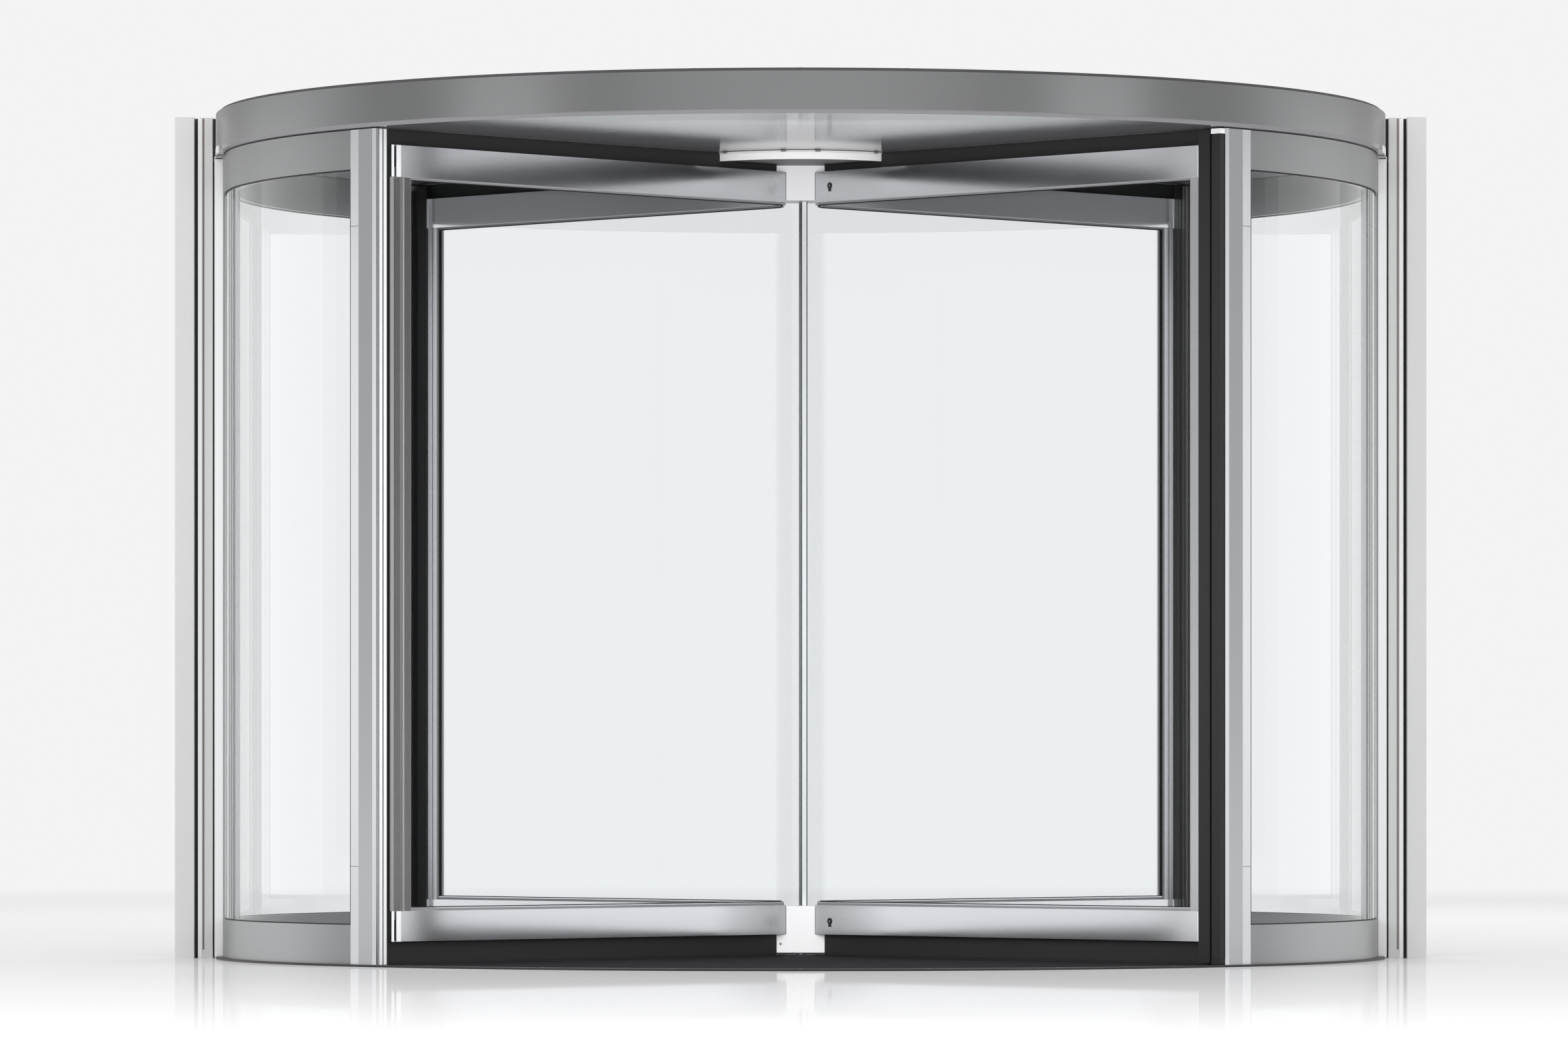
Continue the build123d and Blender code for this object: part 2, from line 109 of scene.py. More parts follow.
class Shader:
    # the node tree of a new material, or of a new world
    def __init__(self, name, world=False):
        self.owner = bpy.data.worlds.new(name) if world else bpy.data.materials.new(name)
        self.outKind = "ShaderNodeOutputWorld" if world else "ShaderNodeOutputMaterial"
        self.owner.use_nodes = True
        self.tree = self.owner.node_tree
        self.tree.nodes.clear()

    def add(self, kind, settings=None, values=None, output=0):
        made = self.tree.nodes.new(kind)
        for key, value in (settings or {}).items():
            setattr(made, key, value)
        for key, value in (values or {}).items():
            if isinstance(value, Sock):
                self.tree.links.new(value.socket, made.inputs[key])
            else:
                made.inputs[key].default_value = value
        return Sock(self, made.outputs[output])

    def sum(self, operation, *values):
        return self.add("ShaderNodeMath", {"operation": operation}, dict(enumerate(values)))

    def place(self):
        # where a point is at rest, as x, y, z sockets in metres
        whole = self.add("ShaderNodeTexCoord", output="Object")
        first = self.add("ShaderNodeSeparateXYZ", values={0: whole})
        return [Sock(self, socket) for socket in first.socket.node.outputs]

    def noise(self, x, y, z, detail=3.0):
        where = self.add("ShaderNodeCombineXYZ", values={0: x, 1: y, 2: z})
        return self.add("ShaderNodeTexNoise", values={"Vector": where, "Scale": 1.0, "Detail": detail})

    def blendColour(self, factor, first, second):
        return self.add("ShaderNodeMix", {"data_type": "RGBA"}, {"Factor": factor, 6: first, 7: second}, 2)

    def blendSurface(self, factor, first, second):
        return self.add("ShaderNodeMixShader", values={0: factor, 1: first, 2: second})

    def finish(self, surface):
        out = self.tree.nodes.new(self.outKind)
        self.tree.links.new(surface.socket, out.inputs["Surface"])
        return self.owner


def shade(colour, by):
    return tuple(min(1.0, part * by) for part in colour) + (1.0,)


def drift(shader, look, fine, broad, spread):
    # colour and roughness that vary a little with a fine and a broad pattern
    tone = fine * spread["fineShare"] + broad * (1.0 - spread["fineShare"])
    darker, lighter = (shade(look["colour"], 1.0 + turn * spread["tone"]) for turn in (-1, 1))
    base = look["rough"] - (spread["fineRough"] + spread["broadRough"]) / 2
    rough = fine * spread["fineRough"] + broad * spread["broadRough"] + base
    return shader.blendColour(tone, darker, lighter), rough


# Metals. grain says which way the drawn lines run: up, around the axis, or out from it
metals = {
    "satin_aluminium": {"colour": (0.66, 0.67, 0.69), "rough": 0.22, "grain": "up"},
    "rail_aluminium": {"colour": (0.39, 0.395, 0.40), "rough": 0.34, "grain": "around"},
    "wing_aluminium": {"colour": (0.88, 0.89, 0.91), "rough": 0.105, "grain": "out", "hubBlur": 0.6},
    "stile_aluminium": {"colour": (0.80, 0.805, 0.82), "rough": 0.18, "grain": "up"},
    # the next metal is the stile aluminium darkened, as painted shade on the bare stile faces
    "stile_painted_shade": {"colour": (0.33, 0.33, 0.335), "rough": 0.18, "grain": "up"},
    "canopy_metal": {"colour": (0.38, 0.385, 0.39), "rough": 0.26, "grain": "around"},
    "bearing_steel": {"colour": (0.50, 0.51, 0.53), "rough": 0.30, "grain": "around"},
}
# Drawn lines are fine across and long along their run, and smudges are broad: scales per metre, and
# per radian for around. Some metals grow duller within hubReach metres of the axis
drawn = {"across": 700, "up": 4, "out": 5, "around": 8, "smudge": 2.1, "smudgeUp": 1.3, "smudgeDetail": 2.0,
         "hubReach": 0.40}
metalSpread = {"fineShare": 0.6, "tone": 0.03, "fineRough": 0.02, "broadRough": 0.05}


def makeMetal(name, look):
    metal = Shader(name)
    x, y, z = metal.place()
    radius = (x * x + y * y).sum("SQRT")
    across = drawn["across"]
    if look["grain"] == "up":
        fine = metal.noise(x * across, y * across, z * drawn["up"])
    elif look["grain"] == "out":
        fine = metal.noise(radius * drawn["out"], z * across, 0.0)
    else:
        fine = metal.noise(y.sum("ARCTAN2", x) * drawn["around"], z * across, radius * across)
    wide = drawn["smudge"]
    smudge = metal.noise(x * wide, y * wide, z * drawn["smudgeUp"], drawn["smudgeDetail"])
    colour, rough = drift(metal, look, fine, smudge, metalSpread)
    if "hubBlur" in look:
        rough = rough + (drawn["hubReach"] - radius).sum("MAXIMUM", 0.0) * look["hubBlur"]
    return metal.finish(metal.add("ShaderNodeBsdfPrincipled", values={
        "Base Color": colour, "Metallic": 1.0, "Roughness": rough}))


# Paints, rubbers and plastics. scale is the grain's count per metre, shine the specular level
plains = {
    "facade_metal": {"colour": (0.58, 0.58, 0.575), "rough": 0.38, "scale": 700, "bump": 0.05},
    "post_paint": {"colour": (0.80, 0.80, 0.80), "rough": 0.30, "scale": 700, "bump": 0.03},
    "hub_paint": {"colour": (0.94, 0.94, 0.955), "rough": 0.32, "scale": 500, "bump": 0.03},
    # the next paint is the hub's white paint darkened, as painted shade on the upper hub
    "hub_upper_painted_shade": {"colour": (0.80, 0.80, 0.82), "rough": 0.32, "scale": 500, "bump": 0.03},
    "disc_paint": {"colour": (0.97, 0.97, 0.97), "rough": 0.28, "scale": 500, "bump": 0.02},
    # the next paint is pale; on the wing rail ends its brightness is a painted highlight of polished end caps
    "bright_clip_and_highlight": {"colour": (0.90, 0.91, 0.92), "rough": 0.20, "scale": 500, "bump": 0.02},
    "edge_strip": {"colour": (0.30, 0.30, 0.295), "rough": 0.30, "scale": 600, "bump": 0.02},
    "ceiling_panel": {"colour": (0.21, 0.21, 0.22), "rough": 0.12, "scale": 12, "bump": 0.0, "shine": 0.33},
    "groove_line": {"colour": (0.19, 0.16, 0.145), "rough": 0.50, "scale": 600, "bump": 0.02},
    "stile_line": {"colour": (0.16, 0.16, 0.165), "rough": 0.50, "scale": 600, "bump": 0.02},
    "bead_line": {"colour": (0.24, 0.24, 0.25), "rough": 0.50, "scale": 600, "bump": 0.02},
    # the next paint is near black: the dust cover's own paint, and at its rim over the fascia also painted
    # shade of a shadow gap
    "cover_sheet": {"colour": (0.06, 0.06, 0.065), "rough": 0.55, "scale": 300, "bump": 0.05},
    "black_trim": {"colour": (0.018, 0.018, 0.020), "rough": 0.42, "scale": 600, "bump": 0.04},
    "black_rubber": {"colour": (0.022, 0.022, 0.023), "rough": 0.55, "scale": 900, "bump": 0.10,
                     "shine": 0.3},
    "entrance_mat": {"colour": (0.020, 0.020, 0.022), "rough": 0.85, "scale": 450, "bump": 0.50,
                     "shine": 0.2},
    "clear_gasket": {"colour": (0.24, 0.25, 0.27), "rough": 0.25, "scale": 300, "bump": 0.02},
    "clear_profile": {"colour": (0.86, 0.89, 0.91), "rough": 0.20, "scale": 300, "bump": 0.02},
    "keyhole": {"colour": (0.010, 0.010, 0.012), "rough": 0.35, "scale": 900, "bump": 0.02},
}
plainSpread = {"fineShare": 0.4, "tone": 0.06, "fineRough": 0.04, "broadRough": 0.06, "broad": 1.7,
               "broadDetail": 2.0, "bumpDeep": 0.0004, "shine": 0.5}


def makePlain(name, look):
    plain = Shader(name)
    place = plain.place()
    fine = plain.noise(*(part * look["scale"] for part in place))
    broad = plain.noise(*(part * plainSpread["broad"] for part in place), plainSpread["broadDetail"])
    colour, rough = drift(plain, look, fine, broad, plainSpread)
    bump = plain.add("ShaderNodeBump", values={
        "Strength": look["bump"], "Distance": plainSpread["bumpDeep"], "Height": fine})
    return plain.finish(plain.add("ShaderNodeBsdfPrincipled", values={
        "Base Color": colour, "Roughness": rough, "Normal": bump,
        "Specular IOR Level": look.get("shine", plainSpread["shine"])}))


glass = {"tint": (0.965, 0.98, 0.985, 1.0), "rough": 0.0, "ior": 1.45}


def makeGlass(name):
    clear = Shader(name)
    solid = clear.add("ShaderNodeBsdfPrincipled", values={
        "Base Color": glass["tint"], "Roughness": glass["rough"], "IOR": glass["ior"],
        "Transmission Weight": 1.0})
    through = clear.add("ShaderNodeBsdfTransparent", values={"Color": glass["tint"]})
    lampRay = clear.add("ShaderNodeLightPath", output="Is Shadow Ray")
    return clear.finish(clear.blendSurface(lampRay, solid, through))


finishes = {name: makeMetal(name, look) for name, look in metals.items()}
finishes.update({name: makePlain(name, look) for name, look in plains.items()})
finishes["clear_glass"] = makeGlass("clear_glass")
print("finishes made:", len(finishes))

# Which finish each node of the frame takes: the first line that its name starts with
nodeFinishes = {
    "floor_ring": "black_trim",
    "floor_mat": "entrance_mat",
    "floor_bearing": "bearing_steel",
    "top_bearing": "bearing_steel",
    "canopy_fascia": "canopy_metal",
    "canopy_ceiling": "ceiling_panel",
    "canopy_cover": "cover_sheet",
    "canopy_gasket": "black_rubber",
    "sweep_strips": "black_rubber",
    "safety_edges": "black_rubber",
    "facade_joints": "black_rubber",
    "facade_adapters": "facade_metal",
    "facade_post": "facade_metal",
    "mid_post": "post_paint",
    "head_rails": "rail_aluminium",
    "base_rails": "rail_aluminium",
    "bay_stiles": "satin_aluminium",
    "throat_post": "satin_aluminium",
    "side_glass": "clear_glass",
    "hub_top": "hub_upper_painted_shade",
    "hub_bottom": "hub_paint",
    "hanger_disc": "disc_paint",
    "centre_gasket": "clear_gasket",
    "wing_rails": "wing_aluminium",
    "wing_stile": "stile_aluminium",
    "wing_glass": "clear_glass",
    "wing_seals": "black_rubber",
}


def dressNodes():
    for name, holder in nodes.items():
        finish = next(look for start, look in nodeFinishes.items() if name.startswith(start))
        holder.data.materials.clear()
        holder.data.materials.append(finishes[finish])
    print("nodes dressed")


dressNodes()

# What the pieces share: how far they reach into what carries them and stop short of what comes next,
# in millimetres, and in degrees the step of an arc and the angle from which an edge looks sharp. It is
# smaller on softened blocks, so that their broad faces stay flat
fit = {"sunk": 0.5, "clear": 0.5, "arcStep": 2.0, "sharp": 35, "sharpSoftened": 12}
upward = (0, 0, 1)


class Form:
    # gathers solids given in millimetres, and hands them over as one piece in metres
    def __init__(self):
        self.mesh = bmesh.new()

    def loft(self, rings, closed=False):
        made = [[self.mesh.verts.new(Vector(point) * 0.001) for point in ring] for ring in rings]
        pairs = list(zip(made, made[1:])) + ([(made[-1], made[0])] if closed else [])
        for first, second in pairs:
            for place, corner in enumerate(first):
                after = (place + 1) % len(first)
                self.mesh.faces.new((corner, first[after], second[after], second[place]))
        if not closed:
            self.mesh.faces.new(made[0][::-1])
            self.mesh.faces.new(made[-1])

    def arc(self, outline, start, end, step=fit["arcStep"]):
        # outline is radius and height pairs, turned about the axis, in degrees
        count = max(2, math.ceil((end - start) / step))
        full = end - start >= 360
        angles = [math.radians(start + (end - start) * place / count) for place in range(count + 1 - full)]
        self.loft([[(out * math.cos(a), out * math.sin(a), up) for out, up in outline] for a in angles], full)

    def band(self, outs, heights, start, end):
        # an arc with a rectangular section
        (near, far), (low, high) = outs, heights
        self.arc([(near, low), (far, low), (far, high), (near, high)], start, end)

    def upright(self, outline, heights):
        self.loft([[(x, y, level) for x, y in outline] for level in heights])

    def box(self, xs, ys, heights):
        # square to the frame, from pairs that may come in either order
        (left, right), (front, back) = sorted(xs), sorted(ys)
        self.upright([(left, front), (right, front), (right, back), (left, back)], heights)

    def block(self, point, outs, acrosses, heights):
        # point turns out, across and height into a place, as onWing and onPost do
        (start, end), (near, far) = outs, acrosses
        corners = [(start, near), (end, near), (end, far), (start, far)]
        self.loft([[point(out, across, height) for out, across in corners] for height in heights])

    def stud(self, centre, axis, radius, height, sides=20, edge=0.3):
        # a round head that stands on centre, along axis
        axis = Vector(axis).normalized()
        first = axis.orthogonal().normalized()
        second = axis.cross(first)
        turned = [2 * math.pi * place / sides for place in range(sides)]
        spokes = [first * math.cos(a) + second * math.sin(a) for a in turned]
        levels = ((-fit["sunk"], radius), (height - edge, radius), (height, radius - edge))
        self.loft([[Vector(centre) + axis * up + spoke * wide for spoke in spokes] for up, wide in levels])

    def finish(self, name, finish, body, slot, soften=0.0):
        if soften:
            bmesh.ops.bevel(self.mesh, geom=self.mesh.edges[:], offset=soften * 0.001, segments=2,
                            affect="EDGES", profile=0.5)
        bmesh.ops.recalc_face_normals(self.mesh, faces=self.mesh.faces[:])
        data = bpy.data.meshes.new(name)
        self.mesh.to_mesh(data)
        self.mesh.free()
        data.materials.append(finishes[finish])
        for face in data.polygons:
            face.use_smooth = True
        data.set_sharp_from_angle(angle=math.radians(fit["sharpSoftened" if soften else "sharp"]))
        piece = addObject(name, data)
        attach(piece, body)
        return piece


# Sizes of the frame that the pieces below stand on, in millimetres and degrees
drum = {
    "canopy": 1750, "wall": 1727, "paneOuter": 1719, "paneInner": 1709, "floor": 6, "baseTop": 119,
    "headLow": 2285, "wallTop": 2397, "ceiling": 2400, "canopyTop": 2520, "coverTop": 2529,
    "postFace": 1733, "postWidth": 114, "postMid": 46.4, "bayStart": 48.284, "stileEdge": 31.0,
    "throats": {"front": -90, "rear": 90},
}
rotor = {
    "sealLow": 11.5, "railLow": 71.5, "railLowTop": 156.5, "railHigh": 2268, "railHighTop": 2353,
    "sealHigh": 2394.5, "railHalf": 22.5, "railStart": 83.6, "stileInner": 1598.3, "tip": 1681.3, "bead": 12,
    "wings": {"front_right": -45, "rear_right": 45, "rear_left": 135, "front_left": 225},
    "keyed": ("front_right", "rear_left"),
}


def onWing(azimuth):
    # out is along the wing, or along any ray from the axis, and across is to its clockwise side
    a = math.radians(azimuth)

    def place(out, across, height):
        return (out * math.cos(a) + across * math.sin(a), out * math.sin(a) - across * math.cos(a), height)
    return place


def onPost(throat, side):
    # along the post's outer face, away from the throat, and in from that face
    a = math.radians(drum["throats"][throat] + side * drum["postMid"])

    def place(along, inwards, height):
        out = drum["postFace"] - inwards
        along *= side
        return (out * math.cos(a) - along * math.sin(a), out * math.sin(a) + along * math.cos(a), height)
    return place


# Ribbed entrance mat, round, open at the floor pivot
mat = {"radius": 1699.5, "hole": 50.0, "holeGap": 1.0, "rib": 20.0, "gap": 4.0, "base": 3.0, "top": 6.0,
       "samples": 4}


def makeMat():
    form = Form()
    form.band((mat["hole"], mat["radius"]), (0, mat["base"]), 0, 360)
    heights = (mat["base"] - fit["sunk"], mat["top"])
    pitch = mat["rib"] + mat["gap"]
    rows = int(2 * mat["radius"] / pitch)
    for row in range(rows):
        low = (row - rows / 2) * pitch + mat["gap"] / 2
        levels = [low + mat["rib"] * step / mat["samples"] for step in range(mat["samples"] + 1)]
        ends = [(math.sqrt(mat["radius"] ** 2 - y * y), y) for y in levels]
        if min(abs(y) for y in levels) < mat["hole"]:
            inner = [(math.sqrt(max(0.0, mat["hole"] ** 2 - y * y)) + mat["holeGap"], y) for y in levels]
            for mirror in (1, -1):
                form.upright([(mirror * x, y) for x, y in inner + ends[::-1]], heights)
        else:
            form.upright([(-x, y) for x, y in ends] + ends[::-1], heights)
    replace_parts(form.finish("entrance_mat_ribs", "entrance_mat", "drum", "entrance_mat"), "floor_mat")


makeMat()

# Screws of the floor ring, in the throats, with their six-sided sockets
ringScrews = {"radius": 5.5, "height": 0.5, "out": 1722, "angles": (-38, -25, -12, 0, 12, 25, 38),
              "socket": 2.475, "socketHeight": 0.65, "socketSides": 6, "socketEdge": 0.05}


def makeRingScrews():
    heads = Form()
    sockets = Form()
    for throat in drum["throats"].values():
        for angle in ringScrews["angles"]:
            centre = onWing(throat + angle)(ringScrews["out"], 0, drum["floor"])
            heads.stud(centre, upward, ringScrews["radius"], ringScrews["height"])
            sockets.stud(centre, upward, ringScrews["socket"], ringScrews["socketHeight"],
                         ringScrews["socketSides"], ringScrews["socketEdge"])
    heads.finish("floor_ring_screws", "bearing_steel", "drum", "bearing_steel")
    sockets.finish("floor_ring_screw_sockets", "keyhole", "drum", "bearing_steel")


makeRingScrews()

# Black gaskets at the curved panes: play is the groove's clearance beside the glass, skin what stays
# free at each side of it. A lip starts at step past the rail's edge and thins by the two tapers
paneGasket = {"play": 2.0, "skin": 0.08, "sunk": 8.0, "step": 0.15, "lip": 1.6, "proud": 3.4,
              "postProud": 12.6, "lipTaper": 0.7, "taper": 0.6, "blockX": (1707.3, 1720.7),
              "blockY": (17.3, 18.8)}
paneFaces = ((drum["paneOuter"], 1), (drum["paneInner"], -1))


def gasketOutlines(edge, up):
    # radius and height outlines at both faces of the pane, for a rail that ends at edge
    near, far = paneGasket["skin"], paneGasket["play"] - paneGasket["skin"]
    sunk, step = edge - up * paneGasket["sunk"], edge + up * paneGasket["step"]
    lip, proud = paneGasket["lip"], up * paneGasket["proud"]
    profile = ((near, sunk), (far, sunk), (far, step), (far + lip, step),
               (far + lip * paneGasket["lipTaper"], edge + proud * paneGasket["taper"]), (near, edge + proud))
    return [[(face + out * deep, height) for deep, height in profile] for face, out in paneFaces]


def makePaneGaskets():
    start = 90 - drum["bayStart"]
    end = math.degrees(math.asin(drum["stileEdge"] / drum["paneOuter"]))
    heights = (drum["baseTop"] + fit["clear"], drum["headLow"] - fit["clear"])
    for side, middle, name in ((-1, 180, "left"), (1, 0, "right")):
        form = Form()
        for throat in (-1, 1):
            angles = sorted(middle + throat * place for place in (start, end))
            for outline in gasketOutlines(drum["baseTop"], 1) + gasketOutlines(drum["headLow"], -1):
                form.arc(outline, *angles)
            for face, out in paneFaces:
                near = face + out * paneGasket["skin"]
                far = face + out * (paneGasket["play"] - paneGasket["skin"])
                tip = near + (far - near) * paneGasket["taper"]
                for edge, towards, reach in ((start, -1, "postProud"), (end, 1, "proud")):
                    sunk = edge - towards * math.degrees(paneGasket["sunk"] / face)
                    proud = edge + towards * math.degrees(paneGasket[reach] / face)
                    corners = ((near, sunk), (far, sunk), (far, edge), (tip, proud), (near, proud))
                    outline = [onWing(middle + throat * angle)(radius, 0, 0)[:2] for radius, angle in corners]
                    form.upright(outline, heights)
        xs = [side * x for x in paneGasket["blockX"]]
        for throat in (-1, 1):
            form.box(xs, [throat * y for y in paneGasket["blockY"]], heights)
        form.finish("pane_gaskets_" + name, "black_rubber", "drum", "black_rubber")


makePaneGaskets()

# Throat posts: joints across the wide bevel, and plates down the face on the throat
postTrim = {"joints": (287, 2121), "jointHeight": 1.8, "sunk": 1.0, "proud": 0.25, "bevel": 42, "standout": 6,
            "plates": ((17.0, 27.4), (32.9, 44.0)), "plateProud": 0.4, "soften": 0.2}


def makePostTrim():
    joints = Form()
    half = drum["postWidth"] / 2
    first = Vector((half - postTrim["bevel"], 0))
    second = Vector((half * drum["wall"] / drum["postFace"], postTrim["standout"]))
    normal = Vector((second.y - first.y, first.x - second.x)).normalized()
    inner, outer = -normal * postTrim["sunk"], normal * postTrim["proud"]
    corners = (first + inner, second + inner, second + outer, first + outer)
    rise = postTrim["jointHeight"] / 2
    for throat in drum["throats"]:
        for side in (-1, 1):
            place = onPost(throat, side)
            for height in postTrim["joints"]:
                joints.loft([[place(corner.x, corner.y, level) for corner in corners]
                             for level in (height - rise, height + rise)])
    joints.finish("throat_post_joints", "stile_line", "drum", "black_trim")

    plates = Form()
    alongs = (-half - postTrim["plateProud"], -half + fit["sunk"])
    heights = (drum["floor"] + fit["clear"], drum["wallTop"] - fit["clear"])
    for throat in drum["throats"]:
        for insets in postTrim["plates"]:
            plates.block(onPost(throat, -1), alongs, insets, heights)
    plates.finish("throat_face_plates", "post_paint", "drum", "satin_aluminium", postTrim["soften"])


makePostTrim()

# Bright tab over each safety edge and black foot under it
safetyEnds = {"depth": 18.0, "inset": 5.0, "width": 38.0, "gap": 0.6, "tab": 14.8, "foot": 16.0,
              "footInset": 1.0, "soften": 1.0}


def makeSafetyEnds():
    tabs = Form()
    feet = Form()
    edge = -drum["postWidth"] / 2
    start, end = edge - safetyEnds["depth"], edge + fit["sunk"]
    near, far = safetyEnds["inset"], safetyEnds["inset"] + safetyEnds["width"]
    low, high = drum["floor"] + safetyEnds["gap"], drum["wallTop"] - safetyEnds["gap"]
    step = safetyEnds["footInset"]
    for throat in drum["throats"]:
        place = onPost(throat, 1)
        tabs.block(place, (start, end), (near, far), (high - safetyEnds["tab"], high))
        feet.block(place, (start + step, end), (near + step, far - step), (low, low + safetyEnds["foot"]))
    tabs.finish("safety_edge_tabs", "bright_clip_and_highlight", "drum", "satin_aluminium", safetyEnds["soften"])
    feet.finish("safety_edge_feet", "black_rubber", "drum", "black_rubber", safetyEnds["soften"])


makeSafetyEnds()

# Canopy: a black ring of painted shadow along the joint over the ceiling board, and bright clips, end strips,
# dark lines and seals where it meets the facade. angles are measured from the facade's line
canopyTrim = {
    "sunk": 1.0,
    "joint": {"proud": 0.2, "heights": (2410.8, 2413.0), "half": 40.0},
    "clips": {"proud": 1.4, "heights": (drum["wallTop"], 2418.0), "angles": (1.75, 9.2)},
    "strips": {"proud": 0.6, "heights": (2418.5, drum["canopyTop"] - 1.0), "angles": (1.75, 7.3)},
    "lines": {"xs": (1730.0, 1753.0), "heights": (2393.2, 2396.6), "half": 50.9},
    "seals": {"xs": (1750.4, 1759.6), "heights": (drum["ceiling"] + fit["clear"], 2514.0), "half": 46.0},
}


def makeCanopyTrim():
    forms = {part: Form() for part in ("joint", "clips", "strips", "lines", "seals")}
    inner = drum["canopy"] - canopyTrim["sunk"]
    trim = canopyTrim["joint"]
    outs = (inner, drum["canopy"] + trim["proud"])
    for throat in drum["throats"].values():
        forms["joint"].band(outs, trim["heights"], throat - trim["half"], throat + trim["half"])
    for part in ("clips", "strips"):
        trim = canopyTrim[part]
        outs = (inner, drum["canopy"] + trim["proud"])
        for middle in (0, 180):
            for turn in (-1, 1):
                angles = sorted(middle + turn * angle for angle in trim["angles"])
                forms[part].band(outs, trim["heights"], *angles)
    for part in ("lines", "seals"):
        trim = canopyTrim[part]
        for side in (-1, 1):
            forms[part].box([side * x for x in trim["xs"]], (-trim["half"], trim["half"]), trim["heights"])
    forms["joint"].finish("canopy_joint", "stile_line", "drum", "black_trim")
    forms["clips"].finish("canopy_end_clips", "bright_clip_and_highlight", "drum", "satin_aluminium")
    forms["strips"].finish("canopy_end_strips", "edge_strip", "drum", "canopy_metal")
    forms["lines"].finish("canopy_end_lines", "black_trim", "drum", "black_trim")
    forms["seals"].finish("canopy_end_seals", "black_rubber", "drum", "black_rubber")


makeCanopyTrim()

# Dust cover: seams that run out from a bevelled cap in the middle, and screws round the edge
coverTrim = {"seams": 12, "seamWidth": 26.0, "seamHeight": 1.2, "seamOuts": (140, 1725), "cap": (60, 140),
             "capHeight": 2.5, "capBevel": 4.0, "capStep": 6, "screws": 36, "screwOut": 1715.0,
             "screwRadius": 6.0, "screwHeight": 2.2, "screwSides": 16, "screwEdge": 0.8}


def makeCoverTrim():
    seams = Form()
    top = drum["coverTop"]
    low, high = top - fit["sunk"], top + coverTrim["capHeight"]
    half = coverTrim["seamWidth"] / 2
    heights = (low, top + coverTrim["seamHeight"])
    for place in range(coverTrim["seams"]):
        azimuth = 360 / coverTrim["seams"] * (place + 0.5)
        seams.block(onWing(azimuth), coverTrim["seamOuts"], (-half, half), heights)
    near, far = coverTrim["cap"]
    outline = [(near, low), (far, low), (far - coverTrim["capBevel"], high), (near, high)]
    seams.arc(outline, 0, 360, coverTrim["capStep"])
    seams.finish("canopy_cover_seams", "cover_sheet", "drum", "cover_sheet")

    screws = Form()
    for place in range(coverTrim["screws"]):
        centre = onWing(360 * place / coverTrim["screws"])(coverTrim["screwOut"], 0, top)
        screws.stud(centre, upward, coverTrim["screwRadius"], coverTrim["screwHeight"],
                    coverTrim["screwSides"], coverTrim["screwEdge"])
    screws.finish("canopy_cover_screws", "bearing_steel", "drum", "bearing_steel")


makeCoverTrim()

# Caps that close the adapters and posts of the facade at the top: from, to and half the depth of each
postCaps = {"height": 2515.0, "thickness": 2.0, "inset": 1.0, "soften": 0.8,
            "blocks": ((1760.0, 1800.0, 50.0), (1814.0, 1872.0, 75.0))}


def makePostCaps():
    form = Form()
    inset = postCaps["inset"]
    heights = (postCaps["height"] - fit["sunk"], postCaps["height"] + postCaps["thickness"])
    for side in (-1, 1):
        for inner, outer, half in postCaps["blocks"]:
            form.box((side * (inner + inset), side * (outer - inset)), (inset - half, half - inset), heights)
    form.finish("facade_post_caps", "facade_metal", "drum", "facade_metal", postCaps["soften"])


makePostCaps()

# Strips along the adapters and mid posts, front and back. half is half the depth of what they lie on
facadeStrips = {
    "adapter_edge_beads": {"finish": "post_paint", "slot": "facade_metal", "from": 1793.5, "to": 1804.5,
                           "half": 50.0, "sunk": 4.0, "proud": 0.6, "heights": (0.5, 2514.0)},
    "adapter_groove_lines": {"finish": "groove_line", "slot": "black_trim", "from": 1785.2, "to": 1790.8,
                             "half": 47.0, "sunk": 0.5, "proud": 0.5, "heights": (25.5, 2514.0)},
    "mid_post_edges": {"finish": "edge_strip", "slot": "satin_aluminium", "from": 1727.2, "to": 1729.6,
                       "half": 50.0, "sunk": 1.0, "proud": 0.4, "heights": (6.5, 2385.0)},
}
stripSoften = 0.2


def makeFacadeStrips():
    for name, strip in facadeStrips.items():
        form = Form()
        near, far = strip["half"] - strip["sunk"], strip["half"] + strip["proud"]
        for side in (-1, 1):
            xs = (side * strip["from"], side * strip["to"])
            for face in (-1, 1):
                form.box(xs, (face * near, face * far), strip["heights"])
        form.finish(name, strip["finish"], "drum", strip["slot"], stripSoften)


makeFacadeStrips()

# Gaskets along the panes of the wings, each with a lip that starts at step past the bead's edge
wingGasket = {"near": 6.06, "far": 7.94, "sunk": 6.0, "step": 0.15, "proud": 2.6, "lip": 1.4, "startGap": 6.0}


def wingGasketProfile(side, edge, towards):
    # across and along pairs, from inside the bead to the lip on the glass
    near, far = side * wingGasket["near"], side * wingGasket["far"]
    lip = far + side * wingGasket["lip"]
    sunk, step = edge - towards * wingGasket["sunk"], edge + towards * wingGasket["step"]
    return [(near, sunk), (far, sunk), (far, step), (lip, step), (near, edge + towards * wingGasket["proud"])]


def makeWingGaskets():
    low, high = rotor["railLowTop"] + rotor["bead"], rotor["railHigh"] - rotor["bead"]
    outs = (rotor["railStart"] + wingGasket["startGap"], rotor["stileInner"] - wingGasket["proud"])
    for name, azimuth in rotor["wings"].items():
        form = Form()
        place = onWing(azimuth)
        for side in (-1, 1):
            for edge, up in ((low, 1), (high, -1)):
                profile = wingGasketProfile(side, edge, up)
                form.loft([[place(out, across, height) for across, height in profile] for out in outs])
            profile = wingGasketProfile(side, rotor["stileInner"], -1)
            form.loft([[place(out, across, height) for across, out in profile] for height in (low, high)])
        form.finish("wing_gaskets_" + name, "black_rubber", "rotor", "black_rubber")


makeWingGaskets()

# Both sides of every wing. A side is bare where no seal cover hides its stile
wingSides = [(onWing(azimuth), side, side == -1 and name not in rotor["keyed"])
             for name, azimuth in rotor["wings"].items() for side in (-1, 1)]
